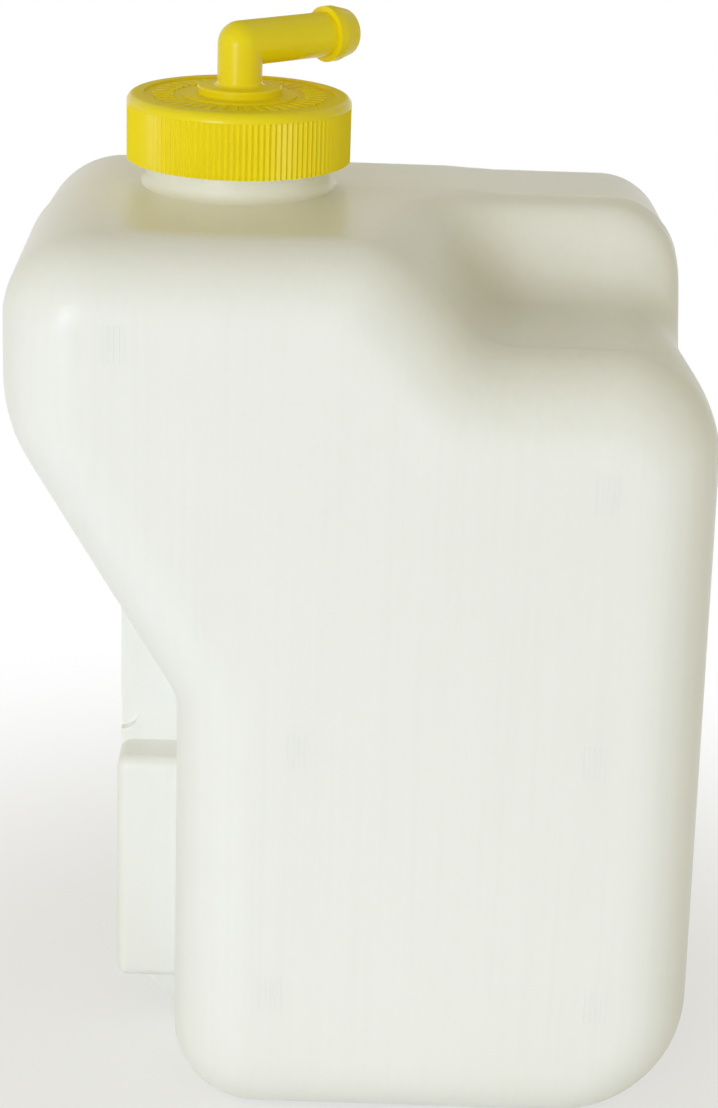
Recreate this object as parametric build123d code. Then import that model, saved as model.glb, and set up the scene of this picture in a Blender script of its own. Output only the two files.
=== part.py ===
from build123d import *
from math import atan2, cos, radians, sin, tan
import os

# Coolant expansion tank with screw cap, swivelling hose elbow and dip tube, in millimetres.
# X runs to the right seen from the front, Y to the back, Z up; the tank stands on Z = 0.

# Tank outline, seen from the front
TANK_WIDTH = 144.8
TANK_HEIGHT = 188.5
LOBE_HEIGHT = 39.7
DIAGONAL_FOOT = 91.5
LEG_INSET = 34.5
TOP_RIGHT_INSET = 10.0
SHOULDER_INSET = 2.5
LOBE_RADIUS = 34.0
DIAGONAL_RADIUS = 9.0
RIM_EASE = 2.0
LEFT_EASE = 3.5
SHOULDER_EASE = 7.0
BOTTOM_RIGHT_EASE = 13.0

# Tank depth, mould draft and edges
TANK_DEPTH = 92.0
FRONT_DEPTH = 57.0
MOULD_DRAFT = 1.2
FRONT_EDGE_RADIUS = 15.0
BACK_EDGE_RADIUS = 9.0
PARTING_STEP = 0.3
TANK_WALL = 2.0
BASE_TRIM = 0.6

# Saddle recess in the top right of the front half
RECESS_RIM = 87.0
RECESS_FOOT = 97.5
RECESS_RIM_FLARE = 13.0
RECESS_FOOT_FLARE = 3.0
RECESS_FOOT_RADIUS = 14.0
RECESS_LIP = 6.0
RECESS_LIP_DROP = 0.5
RECESS_LIP_RADIUS = 11.0
RECESS_REACH = 16.5
RECESS_DROP = 16.5
RECESS_FLOOR_SLOPE = 10.0
RECESS_FLOOR_RADIUS = 16.0
BODY_SECTIONS = 12
ROLL_SECTIONS = 6

# Filler neck
NECK_FROM_LEFT = 44.0
NECK_RADIUS = 19.0
NECK_WALL = 2.5
NECK_HEIGHT = 14.5
NECK_ROOT_RADIUS = 2.2
NECK_ROOT_MARGIN = 0.2

# Mounting wing on the lower left
WING_WIDTH = 14.1
WING_FRONT = 4.0
WING_THICKNESS = 5.0
WING_FOOT = 10.5
WEB_WIDTH = 7.5
WEB_FOOT = 3.5
WEB_TIP = 1.5
WEB_THICKNESS = 3.0
BLOCK_TOP = 64.0
BLOCK_DEPTH = 11.0
BLOCK_EDGE_RADIUS = 2.5
NOTCH_RADIUS = 3.9
NOTCH_HEIGHT = 70.2
NOTCH_DEPTH = 2.5

# Screw cap and gasket
CAP_RADIUS = 23.0
CAP_TOP = 2.2
CAP_GAP = 4.9
CAP_EDGE_RADIUS = 1.8
THREAD_ROOM = 1.6
RIB_COUNT = 120
RIB_HEIGHT = 0.45
RIB_START = 2.0
RIB_SETBACK = 0.05
DISH_INNER = 11.7
DISH_OUTER = 19.5
DISH_DEPTH = 0.4
GASKET_THICKNESS = 1.5
GASKET_GAP = 0.4

# Hose elbow and dip tube
ELBOW_HEADING = 42.0
ELBOW_RISE = 10.1
NOZZLE_LENGTH = 29.0
TUBE_RADIUS = 4.6
BORE_RADIUS = 3.0
BARB_RADIUS = 5.75
BARB_LAND = 2.0
BARB_LENGTH = 6.5
TIP_EASE = 1.5
FLANGE_RADIUS = 8.6
FLANGE_THICKNESS = 1.7
FLANGE_FILLET = 1.0
FLANGE_EASE = 0.4
SHANK_RADIUS = 6.0
SHANK_GAP = 0.05
LIP_OVERLAP = 0.6
LIP_LENGTH = 2.0
SPIGOT_RADIUS = 4.2
SPIGOT_LENGTH = 9.0
DIP_GAP = 0.05
DIP_WALL = 1.0
DIP_CLEARANCE = 12.0

# Places that several pieces share
LEFT = -TANK_WIDTH / 2
RIGHT = TANK_WIDTH / 2
PARTING_Y = FRONT_DEPTH - TANK_DEPTH / 2
NECK_X = LEFT + NECK_FROM_LEFT
LEG_X = LEFT + LEG_INSET
LOBE_FOOT = TANK_HEIGHT - LOBE_HEIGHT
NECK_RIM = TANK_HEIGHT + NECK_HEIGHT
CAP_SEAT = NECK_RIM + GASKET_THICKNESS
CAP_CROWN = CAP_SEAT + CAP_TOP
SHANK_HOLE = SHANK_RADIUS + SHANK_GAP
LIP_FOOT = NECK_RIM - LIP_LENGTH
DRAFT_RATE = tan(radians(MOULD_DRAFT))
ROLL_START = FRONT_DEPTH - FRONT_EDGE_RADIUS
UPWARD = (Align.CENTER, Align.CENTER, Align.MIN)


def mould_plane(depth):
    """Sketch plane parallel to the parting plane, at a depth in front of it."""
    return Plane((0, PARTING_Y - depth, 0), x_dir=(1, 0, 0), z_dir=(0, -1, 0))


def tank_section(depth, drop, draft, inset):
    """Outline of the tank at a depth in front of the parting plane, the recess floor a drop below the top.
    The draft sets all but the bottom inwards, the inset the bottom as well, which is low for trimming."""
    share = min(max((depth - RECESS_REACH) / (ROLL_START - RECESS_REACH), 0), 1)
    swell = (1 - cos(radians(180 * share))) / 2
    lean = TOP_RIGHT_INSET + (SHOULDER_INSET - TOP_RIGHT_INSET) * swell
    reach = max(depth, 0) / FRONT_DEPTH
    floor = TANK_HEIGHT - drop
    corners = [
        (LEFT, TANK_HEIGHT),
        (LEFT, LOBE_FOOT),
        (LEG_X, DIAGONAL_FOOT),
        (LEG_X, -draft - BASE_TRIM),
        (RIGHT, -draft - BASE_TRIM),
        (RIGHT - lean, floor),
        (LEFT + RECESS_FOOT - RECESS_FOOT_FLARE * reach, floor),
        (LEFT + RECESS_RIM - RECESS_RIM_FLARE * reach, TANK_HEIGHT),
    ]
    radii = [
        FRONT_EDGE_RADIUS + LEFT_EASE,
        LOBE_RADIUS,
        DIAGONAL_RADIUS,
        FRONT_EDGE_RADIUS + LEFT_EASE,
        FRONT_EDGE_RADIUS + BOTTOM_RIGHT_EASE,
        FRONT_EDGE_RADIUS + SHOULDER_EASE * swell,
        RECESS_FOOT_RADIUS,
        FRONT_EDGE_RADIUS + RIM_EASE,
    ]
    face = make_face(FilletPolyline(*corners, radius=radii, close=True))
    return (mould_plane(depth) * offset(face, -draft - inset)).face()


def front_half(wall):
    """Front half of the tank form: a loft through the recess, closed by a loft round the front edge."""
    wall_angle = atan2(RECESS_DROP - RECESS_LIP_DROP, RECESS_REACH - RECESS_LIP)
    back_shift = wall * tan(wall_angle / 2)
    fall = tan(radians(RECESS_FLOOR_SLOPE))
    recess_line = FilletPolyline(
        (0, RECESS_LIP_DROP),
        (RECESS_LIP - back_shift, RECESS_LIP_DROP),
        (RECESS_REACH - back_shift, RECESS_DROP),
        (ROLL_START, RECESS_DROP + (ROLL_START - RECESS_REACH) * fall),
        radius=[RECESS_LIP_RADIUS - wall, RECESS_FLOOR_RADIUS + wall],
    )
    body = []
    for step in range(BODY_SECTIONS + 1):
        point = recess_line @ (step / BODY_SECTIONS)
        body.append(tank_section(point.X, point.Y, point.X * DRAFT_RATE, wall))
    edge = []
    for step in range(ROLL_SECTIONS + 1):
        turn = radians(90 * step / ROLL_SECTIONS)
        depth = ROLL_START + (FRONT_EDGE_RADIUS - wall) * sin(turn)
        drop = RECESS_DROP + (depth - RECESS_REACH) * fall
        shrink = wall + (FRONT_EDGE_RADIUS - wall) * (1 - cos(turn))
        edge.append(tank_section(depth, drop, depth * DRAFT_RATE, shrink))
    return loft(body) + loft(edge)


def back_half(wall):
    """Back half of the tank form: drafted from the parting plane, closed by a loft round the back edge."""
    roll_start = TANK_DEPTH - FRONT_DEPTH - BACK_EDGE_RADIUS
    radius = BACK_EDGE_RADIUS - wall
    edge = []
    for step in range(ROLL_SECTIONS + 1):
        turn = radians(90 * step / ROLL_SECTIONS)
        depth = roll_start + radius * sin(turn)
        shrink = PARTING_STEP + wall + radius * (1 - cos(turn))
        edge.append(tank_section(-depth, RECESS_LIP_DROP, depth * DRAFT_RATE, shrink))
    body = [tank_section(0, RECESS_LIP_DROP, 0, PARTING_STEP + wall), edge[0]]
    return loft(body, ruled=True) + loft(edge)


def wing(wall):
    """Mounting wing: a plate along the parting plane with a raised block below its ledge."""
    outer = LEG_X - WING_WIDTH + wall
    inner = LEG_X + 2 * TANK_WALL
    front = PARTING_Y - WING_FRONT
    block_front = front - BLOCK_DEPTH + wall
    block_back = front + WING_THICKNESS - wall
    low = WING_FOOT + wall
    high = BLOCK_TOP - wall
    block = Pos((outer + inner) / 2, (block_front + block_back) / 2, (low + high) / 2) * Box(
        inner - outer, block_back - block_front, high - low
    )
    if wall > 0:
        return block
    rounded = block.edges().filter_by_position(Axis.Y, block_front, block_front)
    rounded = rounded + block.edges().group_by(Axis.X)[0].filter_by(Axis.Y)
    block = fillet(rounded, BLOCK_EDGE_RADIUS)
    slope = (LOBE_FOOT - DIAGONAL_FOOT) / LEG_INSET
    outline = Polyline(
        (outer, DIAGONAL_FOOT + WING_WIDTH * slope),
        (outer, WING_FOOT),
        (inner, WING_FOOT),
        (inner, DIAGONAL_FOOT),
        close=True,
    )
    plate = extrude(mould_plane(WING_FRONT) * make_face(outline), -WING_THICKNESS)
    outline = Polyline(
        (LEG_X - WEB_WIDTH, WING_FOOT),
        (LEG_X - WEB_TIP, WEB_FOOT),
        (LEG_X + FRONT_EDGE_RADIUS / 2, WEB_FOOT),
        (LEG_X + FRONT_EDGE_RADIUS / 2, WING_FOOT + BLOCK_EDGE_RADIUS),
        (LEG_X - WEB_WIDTH, WING_FOOT + BLOCK_EDGE_RADIUS),
        close=True,
    )
    web = extrude(mould_plane(WING_FRONT + BLOCK_DEPTH / 2) * make_face(outline), WEB_THICKNESS)
    notch = mould_plane(WING_FRONT) * Pos(outer, NOTCH_HEIGHT) * Circle(NOTCH_RADIUS)
    return plate + block + web - extrude(notch, -NOTCH_DEPTH)


def make_tank_body():
    """Hollow blow-moulded tank with neck, recess and mounting wing."""
    below = Pos(0, 0, -TANK_WALL) * Box(2 * TANK_WIDTH, 2 * TANK_DEPTH, 2 * TANK_WALL)
    shell = front_half(0) + back_half(0) - below + wing(0)
    floor = Pos(0, 0, TANK_WALL) * below
    cavity = front_half(TANK_WALL) + back_half(TANK_WALL) - floor + wing(TANK_WALL)
    foot = TANK_HEIGHT - TANK_WALL
    root_reach = NECK_RADIUS + NECK_ROOT_RADIUS + NECK_ROOT_MARGIN
    root_foot = TANK_HEIGHT - root_reach * DRAFT_RATE
    root_top = root_foot + NECK_ROOT_RADIUS + NECK_ROOT_MARGIN
    mouth_foot = foot - 2 * TANK_WALL
    axis = Pos(NECK_X, PARTING_Y, 0)
    neck = Pos(0, 0, foot) * Cylinder(NECK_RADIUS, NECK_RIM - foot, align=UPWARD)
    root = make_face(
        FilletPolyline(
            (NECK_RADIUS - NECK_WALL, foot),
            (root_reach, foot),
            (root_reach, root_foot),
            (NECK_RADIUS, root_foot),
            (NECK_RADIUS, root_top),
            (NECK_RADIUS - NECK_WALL, root_top),
            radius=[0, 0, 0, NECK_ROOT_RADIUS, 0, 0],
            close=True,
        )
    )
    mouth = Pos(0, 0, mouth_foot) * Cylinder(NECK_RADIUS - NECK_WALL, NECK_RIM - mouth_foot, align=UPWARD)
    blend = revolve(Plane.XZ * root, Axis.Z)
    return shell + axis * (neck + blend) - cavity - axis * mouth


def make_screw_cap():
    """Screw cap with a ring-shaped dish in its top and fine ribs below its rounded shoulder."""
    skirt_foot = TANK_HEIGHT + CAP_GAP
    rib_top = CAP_CROWN - RIB_START
    crest = CAP_RADIUS - RIB_SETBACK
    crown = make_face(
        FilletPolyline(
            (SHANK_HOLE, rib_top),
            (CAP_RADIUS, rib_top),
            (CAP_RADIUS, CAP_CROWN),
            (DISH_OUTER, CAP_CROWN),
            (DISH_OUTER, CAP_CROWN - DISH_DEPTH),
            (DISH_INNER, CAP_CROWN - DISH_DEPTH),
            (DISH_INNER, CAP_CROWN),
            (SHANK_HOLE, CAP_CROWN),
            radius=[0, 0, CAP_EDGE_RADIUS, 0, 0, 0, 0, 0],
            close=True,
        )
    )
    pitch = 360 / RIB_COUNT
    teeth = []
    for rib in range(RIB_COUNT):
        for reach, turn in ((crest, 0.0), (crest - RIB_HEIGHT, 0.5)):
            angle = radians((rib + turn) * pitch)
            teeth.append((reach * cos(angle), reach * sin(angle)))
    skirt = make_face(Polyline(*teeth, close=True)) - Circle(SHANK_HOLE)
    ribbed = Pos(0, 0, skirt_foot) * extrude(skirt, rib_top - skirt_foot)
    inside = Pos(0, 0, skirt_foot) * Cylinder(NECK_RADIUS + THREAD_ROOM, CAP_SEAT - skirt_foot, align=UPWARD)
    return Pos(NECK_X, PARTING_Y, 0) * (revolve(Plane.XZ * crown, Axis.Z) + ribbed - inside)


def make_cap_gasket():
    """Soft washer between the neck rim and the cap, gripped around the elbow's shank."""
    radius = NECK_RADIUS + THREAD_ROOM - GASKET_GAP
    washer = Circle(radius) - Circle(SHANK_HOLE)
    return Pos(NECK_X, PARTING_Y, NECK_RIM) * extrude(washer, GASKET_THICKNESS)


def make_hose_elbow():
    """Elbow with a flange on the cap, a shank snapped through it and a barbed hose nozzle."""
    axis_height = CAP_CROWN + ELBOW_RISE
    flange_top = CAP_CROWN + FLANGE_THICKNESS
    spigot_foot = LIP_FOOT - SPIGOT_LENGTH
    stem = make_face(
        FilletPolyline(
            (0, spigot_foot),
            (SPIGOT_RADIUS, spigot_foot),
            (SPIGOT_RADIUS, LIP_FOOT),
            (SHANK_RADIUS, LIP_FOOT),
            (SHANK_RADIUS + LIP_OVERLAP, NECK_RIM),
            (SHANK_RADIUS, NECK_RIM),
            (SHANK_RADIUS, CAP_CROWN),
            (FLANGE_RADIUS, CAP_CROWN),
            (FLANGE_RADIUS, flange_top),
            (TUBE_RADIUS, flange_top),
            (TUBE_RADIUS, axis_height),
            (0, axis_height),
            radius=[0, 0, 0, 0, 0, 0, 0, 0, FLANGE_EASE, FLANGE_FILLET, 0, 0],
            close=True,
        )
    )
    barb_start = NOZZLE_LENGTH - BARB_LENGTH
    nozzle = make_face(
        FilletPolyline(
            (0, 0),
            (TUBE_RADIUS, 0),
            (TUBE_RADIUS, barb_start),
            (BARB_RADIUS, barb_start),
            (BARB_RADIUS, barb_start + BARB_LAND),
            (TUBE_RADIUS, NOZZLE_LENGTH),
            (0, NOZZLE_LENGTH),
            radius=[0, 0, 0, 0, 0, TIP_EASE, 0],
            close=True,
        )
    )
    knuckle = Pos(0, 0, axis_height)
    heading = knuckle * Rot(0, 90, 0)
    solid = revolve(Plane.XZ * stem, Axis.Z) + knuckle * Sphere(TUBE_RADIUS)
    solid = solid + heading * revolve(Plane.XZ * nozzle, Axis.Z)
    upright = Pos(0, 0, spigot_foot) * Cylinder(BORE_RADIUS, axis_height - spigot_foot, align=UPWARD)
    passage = heading * Cylinder(BORE_RADIUS, NOZZLE_LENGTH, align=UPWARD)
    solid = solid - (upright + knuckle * Sphere(BORE_RADIUS) + passage)
    return Pos(NECK_X, PARTING_Y, 0) * Rot(0, 0, ELBOW_HEADING) * solid


def make_dip_tube():
    """Straight pick-up tube pushed over the elbow's spigot, ending a little above the tank floor."""
    bore = SPIGOT_RADIUS + DIP_GAP
    ring = Circle(bore + DIP_WALL) - Circle(bore)
    return Pos(NECK_X, PARTING_Y, DIP_CLEARANCE) * extrude(ring, LIP_FOOT - DIP_CLEARANCE)


os.makedirs("parts", exist_ok=True)
export_step(make_tank_body(), "parts/tank_body.step")
export_step(make_screw_cap(), "parts/screw_cap.step")
export_step(make_cap_gasket(), "parts/cap_gasket.step")
export_step(make_hose_elbow(), "parts/hose_elbow.step")
export_step(make_dip_tube(), "parts/dip_tube.step")
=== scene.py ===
from math import radians, tau

import bmesh
import bpy
from mathutils import Matrix, Vector


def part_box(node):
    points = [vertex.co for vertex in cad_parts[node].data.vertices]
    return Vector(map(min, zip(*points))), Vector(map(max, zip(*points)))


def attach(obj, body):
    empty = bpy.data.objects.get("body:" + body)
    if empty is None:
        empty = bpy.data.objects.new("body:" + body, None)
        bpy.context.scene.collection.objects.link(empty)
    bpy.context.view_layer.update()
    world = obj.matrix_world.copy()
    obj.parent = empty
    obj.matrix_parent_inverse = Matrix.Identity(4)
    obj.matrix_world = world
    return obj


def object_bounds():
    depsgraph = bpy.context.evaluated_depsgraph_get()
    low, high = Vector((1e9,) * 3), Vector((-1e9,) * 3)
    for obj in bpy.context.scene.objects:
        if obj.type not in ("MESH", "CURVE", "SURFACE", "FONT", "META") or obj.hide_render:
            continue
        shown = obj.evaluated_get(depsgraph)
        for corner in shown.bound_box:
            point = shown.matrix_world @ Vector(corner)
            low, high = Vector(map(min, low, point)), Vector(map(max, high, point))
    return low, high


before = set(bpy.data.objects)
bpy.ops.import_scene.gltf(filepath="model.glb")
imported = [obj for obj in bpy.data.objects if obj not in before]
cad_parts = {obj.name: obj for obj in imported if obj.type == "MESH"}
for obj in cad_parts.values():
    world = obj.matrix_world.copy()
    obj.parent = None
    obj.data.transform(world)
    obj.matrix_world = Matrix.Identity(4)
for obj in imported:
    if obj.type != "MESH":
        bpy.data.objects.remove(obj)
cad_low, cad_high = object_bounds()

# Tank body
# One blow-moulded bottle of natural high-density polyethylene, milky and a little see-through, with the
# two halves of the mould meeting in a line round its sides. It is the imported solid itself, with a finish.
MM = 0.001


def linear(hex_colour):
    """Linear RGBA of an sRGB hex colour such as #EEEEE2."""
    channels = [int(hex_colour[place:place + 2], 16) / 255 for place in (1, 3, 5)]
    return [c / 12.92 if c <= 0.04045 else ((c + 0.055) / 1.055) ** 2.4 for c in channels] + [1.0]


def new_material(name):
    """Empty node material and its tree."""
    material = bpy.data.materials.new(name)
    material.use_nodes = True
    material.node_tree.nodes.clear()
    return material, material.node_tree


def add_node(tree, kind, settings=None, links=None):
    """Node of that kind with its settings, by attribute, input name or input number, and linked outputs."""
    made = tree.nodes.new(kind)
    for name, value in (settings or {}).items():
        if isinstance(name, int) or name in made.inputs:
            made.inputs[name].default_value = value
        else:
            setattr(made, name, value)
    for name, output in (links or {}).items():
        tree.links.new(output, made.inputs[name])
    return made


def finish_cad_node(node, material):
    """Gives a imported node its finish."""
    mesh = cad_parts[node].data
    mesh.materials.clear()
    mesh.materials.append(material)


# Polyethylene blown against a fine-blasted mould: satin, with slow waves where the wall cooled, faint upright
# lines from the die and a fine orange peel. Light enters the wall and spreads. Round the recess the colour
# fades to a warm grey: painted shade, which darkens the recess.
MILK_DULL = "#F6F7F4"
MILK_CLEAR = "#FBFCFA"
WALL_WAVE = 28 * MM
WAVE_HEIGHT = 0.6 * MM
DIE_LINE = 1.6 * MM
DIE_RUN = 70 * MM
DIE_LINE_HEIGHT = 0.04 * MM
PEEL_GRAIN = 0.7 * MM
PEEL_HEIGHT = 0.05 * MM
SATIN_SMOOTH = 0.29
SATIN_ROUGH = 0.37
GLOW_DEPTH = 1.0 * MM
WALL_GLOW = 0.3
# Painted shade: a warm grey painted into the colour round the recess, with its centre and reach.
RECESS_PAINTED_SHADE_COLOUR = "#D2CFBC"
RECESS_PAINTED_SHADE_PLACE = (26 * MM, 0.0, 156 * MM)
RECESS_PAINTED_SHADE_REACH = (46 * MM, 50 * MM, 34 * MM)


def polyethylene(name, glow):
    """Milky polyethylene, with the share of its light that spreads inside the wall, and painted shade round
    the recess.
    """
    material, tree = new_material(name)
    place = add_node(tree, "ShaderNodeTexCoord").outputs["Object"]
    wave = add_node(tree, "ShaderNodeTexNoise", {"Scale": 1 / WALL_WAVE, "Detail": 2.0}, {"Vector": place})
    upright = add_node(
        tree,
        "ShaderNodeMapping",
        {"Scale": (1 / DIE_LINE, 1 / DIE_LINE, 1 / DIE_RUN)},
        {"Vector": place},
    )
    lines = add_node(
        tree,
        "ShaderNodeTexNoise",
        {"Scale": 1.0, "Detail": 2.0},
        {"Vector": upright.outputs["Vector"]},
    )
    peel = add_node(tree, "ShaderNodeTexNoise", {"Scale": 1 / PEEL_GRAIN, "Detail": 3.0}, {"Vector": place})
    milk = add_node(
        tree,
        "ShaderNodeMix",
        {"data_type": "RGBA", "A": linear(MILK_DULL), "B": linear(MILK_CLEAR)},
        {"Factor": lines.outputs["Fac"]},
    )
    # Painted shade: the colour turns warm grey towards a place round the recess, and the milky tint comes
    # back further away.
    around = add_node(
        tree,
        "ShaderNodeMapping",
        {"vector_type": "TEXTURE", "Location": RECESS_PAINTED_SHADE_PLACE, "Scale": RECESS_PAINTED_SHADE_REACH},
        {"Vector": place},
    )
    away = add_node(
        tree,
        "ShaderNodeVectorMath",
        {"operation": "LENGTH"},
        {"Vector": around.outputs["Vector"]},
    )
    outside_painted_shade = add_node(
        tree,
        "ShaderNodeMapRange",
        {"interpolation_type": "SMOOTHSTEP"},
        {"Value": away.outputs["Value"]},
    )
    tint = add_node(
        tree,
        "ShaderNodeMix",
        {"data_type": "RGBA", "A": linear(RECESS_PAINTED_SHADE_COLOUR)},
        {"Factor": outside_painted_shade.outputs["Result"], "B": milk.outputs["Result"]},
    )
    rough = add_node(
        tree,
        "ShaderNodeMapRange",
        {"To Min": SATIN_SMOOTH, "To Max": SATIN_ROUGH},
        {"Value": wave.outputs["Fac"]},
    )
    waves = add_node(
        tree,
        "ShaderNodeBump",
        {"Strength": 0.25, "Distance": WAVE_HEIGHT},
        {"Height": wave.outputs["Fac"]},
    )
    drawn = add_node(
        tree,
        "ShaderNodeBump",
        {"Strength": 0.20, "Distance": DIE_LINE_HEIGHT},
        {"Height": lines.outputs["Fac"], "Normal": waves.outputs["Normal"]},
    )
    bumps = add_node(
        tree,
        "ShaderNodeBump",
        {"Strength": 0.15, "Distance": PEEL_HEIGHT},
        {"Height": peel.outputs["Fac"], "Normal": drawn.outputs["Normal"]},
    )
    surface = add_node(
        tree,
        "ShaderNodeBsdfPrincipled",
        {
            "subsurface_method": "BURLEY",
            "IOR": 1.5,
            "Specular IOR Level": 0.35,
            "Subsurface Weight": glow,
            "Subsurface Radius": (1.0, 0.95, 0.7),
            "Subsurface Scale": GLOW_DEPTH,
        },
        {
            "Base Color": tint.outputs["Result"],
            "Roughness": rough.outputs["Result"],
            "Normal": bumps.outputs["Normal"],
        },
    )
    add_node(tree, "ShaderNodeOutputMaterial", links={"Surface": surface.outputs["BSDF"]})
    return material


finish_cad_node("tank_body", polyethylene("natural_polyethylene_blow_moulded", WALL_GLOW))

# Vent marks
# Groups of fine upright ridges on the front wall, where air left the mould through narrow slits. They are
# part of the bottle, so they have its finish and ride with it, but they are too thin to glow by themselves.
# Each group's place is given in millimetres, across the front and up.
VENT_PLACES = ((-48.7, 168.7), (46.4, 141.7), (-11.8, 85.9), (47.3, 85.4), (-16.3, 31.3), (50.7, 30.6))
VENT_RIDGES = 5
VENT_PITCH = 1.1 * MM
VENT_HEIGHT = 7.5 * MM
VENT_WIDTH = 0.3 * MM
VENT_RISE = 0.06 * MM
VENT_EDGE = 0.9 * VENT_RISE


def round_edges(shape, radius):
    """Rounds every edge of a shape made of blocks."""
    bmesh.ops.bevel(
        shape,
        geom=shape.edges[:],
        offset=radius,
        affect="EDGES",
        segments=2,
        profile=0.5,
        material=-1,
    )
    bmesh.ops.recalc_face_normals(shape, faces=shape.faces)


def new_piece(name, shape, material):
    """Object of that shape with its material."""
    mesh = bpy.data.meshes.new(name)
    shape.to_mesh(mesh)
    shape.free()
    mesh.materials.append(material)
    piece = bpy.data.objects.new(name, mesh)
    bpy.context.scene.collection.objects.link(piece)
    return piece


tank_low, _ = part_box("tank_body")
shape = bmesh.new()
for x, z in VENT_PLACES:
    for ridge in range(VENT_RIDGES):
        across = x * MM + (ridge - (VENT_RIDGES - 1) / 2) * VENT_PITCH
        centre = Matrix.Translation((across, tank_low.y, z * MM))
        size = Matrix.Diagonal((VENT_WIDTH, 2 * VENT_RISE, VENT_HEIGHT, 1))
        bmesh.ops.create_cube(shape, size=1, matrix=centre @ size)
round_edges(shape, VENT_EDGE)
thin_polyethylene = polyethylene("natural_polyethylene_thin_ridge", glow=0.0)
vent_marks = new_piece("vent_marks", shape, thin_polyethylene)
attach(vent_marks, "tank")

# Neck thread
# Two turns of a trapezoid ridge round the filler neck, blown with the bottle from the same polyethylene.
# The cap's own ridge runs in the groove between them, half a pitch above.
NECK_RADIUS = 19.0 * MM
NECK_TURNS = 2.0
THREAD_PITCH = 4.0 * MM
THREAD_RISE = 1.2 * MM
THREAD_ROOT = 0.1 * MM
GASKET_TO_THREAD = 10.0 * MM
ROOT_HALF = 0.8 * MM
CREST_HALF = 0.35 * MM
THREAD_STEPS = 72
gasket_low, gasket_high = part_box("cap_gasket")
thread_start = gasket_low.z - GASKET_TO_THREAD
neck_axis = (gasket_low + gasket_high) / 2
neck_axis.z = 0


def thread_ridge(name, foot_radius, crest_radius, start, turns, material):
    """Helical ridge round the neck's axis from foot to crest radius, with run-out ends."""
    shape = bmesh.new()
    corners = (
        (foot_radius, -ROOT_HALF),
        (crest_radius, -CREST_HALF),
        (crest_radius, CREST_HALF),
        (foot_radius, ROOT_HALF),
    )
    section = [shape.verts.new((neck_axis.x + out, neck_axis.y, start + up)) for out, up in corners]
    shape.faces.new(section)
    steps = round(THREAD_STEPS * turns)
    turned = bmesh.ops.spin(
        shape,
        geom=shape.verts[:] + shape.edges[:] + shape.faces[:],
        cent=neck_axis,
        axis=(0, 0, 1),
        dvec=(0, 0, THREAD_PITCH * turns / steps),
        angle=tau * turns,
        steps=steps,
    )
    last = [item for item in turned["geom_last"] if isinstance(item, bmesh.types.BMVert)]
    for vert in section + last:
        out = Vector((vert.co.x - neck_axis.x, vert.co.y - neck_axis.y, 0))
        vert.co += out.normalized() * (foot_radius - out.length)
    bmesh.ops.recalc_face_normals(shape, faces=shape.faces)
    return new_piece(name, shape, material)


neck_thread = thread_ridge(
    "neck_thread",
    NECK_RADIUS - THREAD_ROOT,
    NECK_RADIUS + THREAD_RISE,
    thread_start,
    NECK_TURNS,
    thin_polyethylene,
)
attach(neck_thread, "tank")

# Cap gasket
# A flat washer of black rubber, cut from sheet. It sits inside the cap, gripped round the elbow's shank, and
# seals the neck's rim. Its surface is matt, with a fine grain.
RUBBER_DARK = "#1A1A1A"
RUBBER_PALE = "#262524"
RUBBER_GRAIN = 0.5 * MM
RUBBER_GRAIN_HEIGHT = 0.05 * MM
rubber, tree = new_material("black_rubber_die_cut")
place = add_node(tree, "ShaderNodeTexCoord").outputs["Object"]
grain = add_node(tree, "ShaderNodeTexNoise", {"Scale": 1 / RUBBER_GRAIN, "Detail": 3.0}, {"Vector": place})
tint = add_node(
    tree,
    "ShaderNodeMix",
    {"data_type": "RGBA", "A": linear(RUBBER_DARK), "B": linear(RUBBER_PALE)},
    {"Factor": grain.outputs["Fac"]},
)
bumps = add_node(
    tree,
    "ShaderNodeBump",
    {"Strength": 0.3, "Distance": RUBBER_GRAIN_HEIGHT},
    {"Height": grain.outputs["Fac"]},
)
surface = add_node(
    tree,
    "ShaderNodeBsdfPrincipled",
    {"Roughness": 0.7},
    {"Base Color": tint.outputs["Result"], "Normal": bumps.outputs["Normal"]},
)
add_node(tree, "ShaderNodeOutputMaterial", links={"Surface": surface.outputs["BSDF"]})
finish_cad_node("cap_gasket", rubber)

# Dip tube
# A cut length of extruded polyethylene pipe that reaches down into the coolant. It is pushed on the elbow's
# spigot inside the tank.
finish_cad_node("dip_tube", polyethylene("natural_polyethylene_extruded_pipe", WALL_GLOW))

# Screw cap
# Injection-moulded polypropylene, coloured through with a warm yellow, with fine upright grip ribs.
# Its sides are glossy, and where it faces up it is dull, from an eroded mould face. A little light enters.
YELLOW_DEEP = "#F6E012"
YELLOW_PALE = "#FDEA18"
COLOUR_CLOUD = 9.0 * MM
MOULD_GRAIN = 0.45 * MM
MOULD_GRAIN_HEIGHT = 0.04 * MM
CAP_GLOW_DEPTH = 1.2 * MM
SIDE_UPWARD = 0.80
TOP_UPWARD = 0.97
SIDE_ROUGHNESS = 0.24
TOP_ROUGHNESS = 0.60
polypropylene, tree = new_material("yellow_polypropylene_injection_moulded")
coordinates = add_node(tree, "ShaderNodeTexCoord")
place = coordinates.outputs["Object"]
upward = add_node(tree, "ShaderNodeSeparateXYZ", links={"Vector": coordinates.outputs["Normal"]})
dull = add_node(
    tree,
    "ShaderNodeMapRange",
    {
        "From Min": SIDE_UPWARD,
        "From Max": TOP_UPWARD,
        "To Min": SIDE_ROUGHNESS,
        "To Max": TOP_ROUGHNESS,
    },
    {"Value": upward.outputs["Z"]},
)
cloud = add_node(tree, "ShaderNodeTexNoise", {"Scale": 1 / COLOUR_CLOUD, "Detail": 3.0}, {"Vector": place})
grain = add_node(tree, "ShaderNodeTexNoise", {"Scale": 1 / MOULD_GRAIN, "Detail": 2.0}, {"Vector": place})
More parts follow.
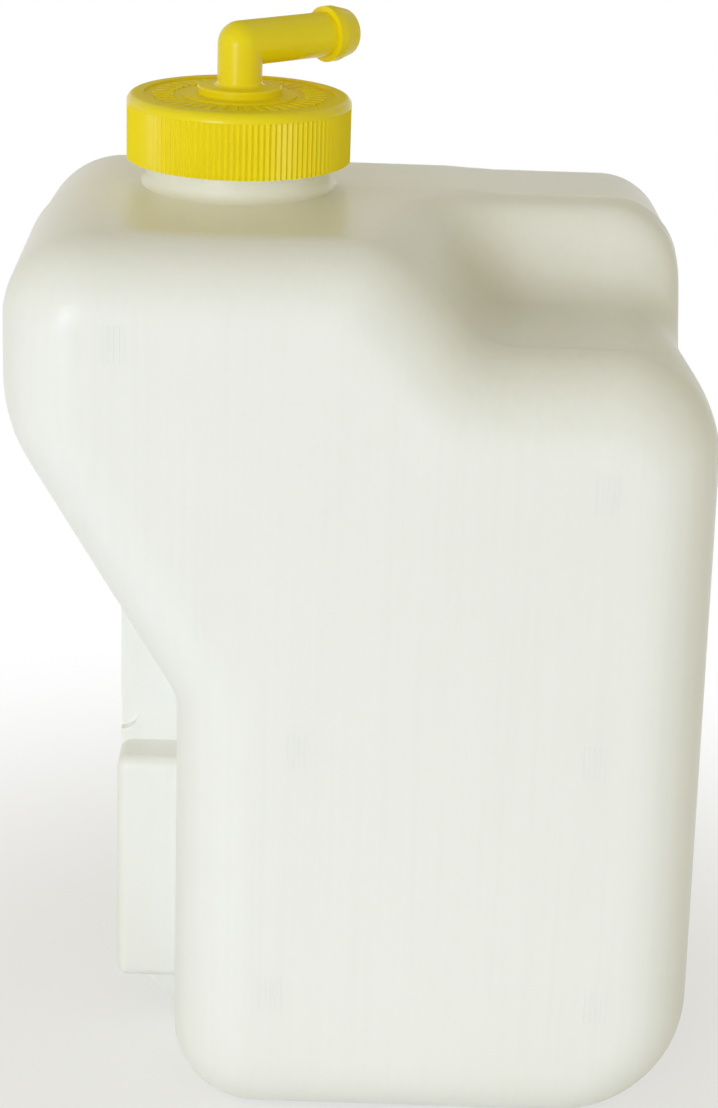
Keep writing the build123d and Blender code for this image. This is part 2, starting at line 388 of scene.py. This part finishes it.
tint = add_node(
    tree,
    "ShaderNodeMix",
    {"data_type": "RGBA", "A": linear(YELLOW_DEEP), "B": linear(YELLOW_PALE)},
    {"Factor": cloud.outputs["Fac"]},
)
bumps = add_node(
    tree,
    "ShaderNodeBump",
    {"Strength": 0.12, "Distance": MOULD_GRAIN_HEIGHT},
    {"Height": grain.outputs["Fac"]},
)
surface = add_node(
    tree,
    "ShaderNodeBsdfPrincipled",
    {
        "IOR": 1.49,
        "Specular IOR Level": 0.25,
        "Subsurface Weight": 0.12,
        "Subsurface Radius": (1.0, 0.75, 0.1),
        "Subsurface Scale": CAP_GLOW_DEPTH,
    },
    {
        "Base Color": tint.outputs["Result"],
        "Roughness": dull.outputs["Result"],
        "Normal": bumps.outputs["Normal"],
    },
)
add_node(tree, "ShaderNodeOutputMaterial", links={"Surface": surface.outputs["BSDF"]})
finish_cad_node("screw_cap", polypropylene)

# Cap thread
# The cap's own ridge, moulded inside its skirt from the same polypropylene. It starts half a pitch above the
# neck's first turn, so that it runs in the groove.
CAP_BORE_RADIUS = 20.6 * MM
CAP_TURNS = 1.5
cap_thread = thread_ridge(
    "cap_thread",
    CAP_BORE_RADIUS + THREAD_ROOT,
    CAP_BORE_RADIUS - THREAD_RISE,
    thread_start + THREAD_PITCH / 2,
    CAP_TURNS,
    polypropylene,
)
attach(cap_thread, "cap")

# Cap bars
# A ring of short raised bars in the dish on the cap's top, of the cap's own polypropylene. They are moulded
# with it and give a thumb some grip.
BAR_COUNT = 40
BAR_RING_RADIUS = 15.6 * MM
BAR_LENGTH = 4.4 * MM
BAR_WIDTH = 1.1 * MM
BAR_RISE = 0.3 * MM
BAR_EDGE = 0.6 * BAR_RISE
DISH_DEPTH = 0.4 * MM
CROWN_HEIGHT = 2.2 * MM
dish_floor = gasket_high.z + CROWN_HEIGHT - DISH_DEPTH
shape = bmesh.new()
for bar in range(BAR_COUNT):
    turn = Matrix.Rotation(tau * bar / BAR_COUNT, 4, "Z")
    centre = Matrix.Translation((neck_axis.x, neck_axis.y, dish_floor)) @ turn
    size = Matrix.Diagonal((BAR_LENGTH, BAR_WIDTH, 2 * BAR_RISE, 1))
    out = Matrix.Translation((BAR_RING_RADIUS, 0, 0))
    bmesh.ops.create_cube(shape, size=1, matrix=centre @ out @ size)
round_edges(shape, BAR_EDGE)
cap_bars = new_piece("cap_bars", shape, polypropylene)
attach(cap_bars, "cap")

# Hose elbow
# A second moulding of the same yellow polypropylene, with a barb for the overflow hose. It is snapped into
# the cap so that it can swivel.
finish_cad_node("hose_elbow", polypropylene)

# Floor
# A wide white sheet under the tank. It takes the tank's shadow and runs out to plain white.
# Its size and the reach of the shadow are in metres.
FLOOR_SIZE = 30.0
FLOOR_COLOUR = "#F3F3F3"
PLAIN_WHITE = "#FFFFFF"
FADE_START = 0.06
FADE_END = 0.24
SHADE_SHARE = 0.45


def background_rays(tree):
    """Output that is 1 for a ray that shows the background, straight, mirrored or through a clear wall."""
    path = add_node(tree, "ShaderNodeLightPath")
    seen = add_node(
        tree,
        "ShaderNodeMath",
        {"operation": "MAXIMUM"},
        {0: path.outputs["Is Camera Ray"], 1: path.outputs["Is Glossy Ray"]},
    )
    seen_through = add_node(
        tree,
        "ShaderNodeMath",
        {"operation": "MAXIMUM"},
        {0: seen.outputs["Value"], 1: path.outputs["Is Transmission Ray"]},
    )
    return seen_through.outputs["Value"]


paper, tree = new_material("white_paper_floor")
place = add_node(tree, "ShaderNodeTexCoord").outputs["Object"]
away = add_node(tree, "ShaderNodeVectorMath", {"operation": "LENGTH"}, {"Vector": place})
fade = add_node(
    tree,
    "ShaderNodeMapRange",
    {
        "interpolation_type": "SMOOTHSTEP",
        "From Min": FADE_START,
        "From Max": FADE_END,
        "To Min": 1 - SHADE_SHARE,
    },
    {"Value": away.outputs["Value"]},
)
share = add_node(
    tree,
    "ShaderNodeMath",
    {"operation": "MULTIPLY"},
    {0: background_rays(tree), 1: fade.outputs["Result"]},
)
matte = add_node(tree, "ShaderNodeBsdfDiffuse", {"Color": linear(FLOOR_COLOUR)})
white = add_node(tree, "ShaderNodeEmission", {"Color": linear(PLAIN_WHITE), "Strength": 1.0})
mixed = add_node(
    tree,
    "ShaderNodeMixShader",
    links={0: share.outputs["Value"], 1: matte.outputs["BSDF"], 2: white.outputs["Emission"]},
)
add_node(tree, "ShaderNodeOutputMaterial", links={"Surface": mixed.outputs["Shader"]})
shape = bmesh.new()
bmesh.ops.create_grid(shape, x_segments=1, y_segments=1, size=FLOOR_SIZE / 2)
floor = new_piece("floor", shape, paper)
floor.location.z = cad_low.z

# Studio light
# Pale, slightly warm walls under a darker ceiling give the fill. One soft box stands in front on the left
# and one lies low in front, so that the light comes more from the front than from above. A third lights
# the back and isn't mirrored, so that the tops keep their own colour.
FILL_COLOUR = "#FFF8D6"
FILL_MIDDLE = 0.79
FILL_SWING = 0.58
FILL_HEADING = Vector((-0.20, -0.38, -0.90))
LAMP_COLOUR = "#D7E4FF"
LOW_BOX_LIFT = 0.005
world = bpy.data.worlds.new("pale_studio")
bpy.context.scene.world = world
world.use_nodes = True
tree = world.node_tree
tree.nodes.clear()
heading = add_node(tree, "ShaderNodeTexCoord").outputs["Generated"]
towards = add_node(
    tree,
    "ShaderNodeVectorMath",
    {"operation": "DOT_PRODUCT", 0: FILL_HEADING},
    {1: heading},
)
fill = add_node(
    tree,
    "ShaderNodeMapRange",
    {"From Min": -1.0, "To Min": FILL_MIDDLE - FILL_SWING, "To Max": FILL_MIDDLE + FILL_SWING},
    {"Value": towards.outputs["Value"]},
)
light = add_node(
    tree,
    "ShaderNodeBackground",
    {"Color": linear(FILL_COLOUR)},
    {"Strength": fill.outputs["Result"]},
)
white = add_node(tree, "ShaderNodeBackground", {"Color": linear(PLAIN_WHITE), "Strength": 1.0})
mixed = add_node(
    tree,
    "ShaderNodeMixShader",
    links={0: background_rays(tree), 1: light.outputs["Background"], 2: white.outputs["Background"]},
)
add_node(tree, "ShaderNodeOutputWorld", links={"Surface": mixed.outputs["Shader"]})


def add_soft_box(name, place, aim, size, power, mirrored):
    """Soft box of that width and depth in metres and power in watts, which the camera doesn't see."""
    lamp = bpy.data.lights.new(name, "AREA")
    lamp.shape = "RECTANGLE"
    lamp.size, lamp.size_y = size
    lamp.energy = power
    lamp.color = linear(LAMP_COLOUR)[:3]
    soft_box = bpy.data.objects.new(name, lamp)
    soft_box.location = place
    soft_box.rotation_euler = (aim - place).to_track_quat("-Z", "Y").to_euler()
    soft_box.visible_camera = False
    soft_box.visible_glossy = mirrored
    bpy.context.scene.collection.objects.link(soft_box)


middle = (cad_low + cad_high) / 2
add_soft_box(
    "soft_box",
    place=Vector((-0.52, -1.15, 0.20)),
    aim=middle,
    size=(0.4, 0.4),
    power=4.9,
    mirrored=True,
)
low_place = Vector((-0.14, -0.51, cad_low.z + LOW_BOX_LIFT))
add_soft_box(
    "low_soft_box",
    place=low_place,
    aim=low_place + Vector((0, 0, 1)),
    size=(0.8, 0.9),
    power=0.6,
    mirrored=True,
)
add_soft_box(
    "back_soft_box",
    place=Vector((0.20, 1.25, 0.16)),
    aim=middle,
    size=(0.8, 0.3),
    power=3.8,
    mirrored=False,
)

# Camera
# It stands in front at the middle of the tank, looks down a little and is turned by a small roll.
# Its lens follows from the focal length of the photograph, in pixels.
PHOTO_HEIGHT = 1108
FOCAL_PIXELS = 2700
SENSOR_WIDTH = 36.0
CAMERA_PLACE = (-0.93 * MM, -538.31 * MM, 307.51 * MM)
CAMERA_TILT = radians(70)
CAMERA_ROLL = radians(1.9)
camera = bpy.data.cameras.new("camera")
camera.sensor_width = SENSOR_WIDTH
camera.lens = SENSOR_WIDTH * FOCAL_PIXELS / PHOTO_HEIGHT
camera_object = bpy.data.objects.new("camera", camera)
stand = Matrix.Translation(CAMERA_PLACE)
tilt = Matrix.Rotation(CAMERA_TILT, 4, "X")
roll = Matrix.Rotation(CAMERA_ROLL, 4, "Z")
camera_object.matrix_world = stand @ tilt @ roll
bpy.context.scene.collection.objects.link(camera_object)
bpy.context.scene.camera = camera_object
bpy.context.scene.view_settings.view_transform = "Standard"
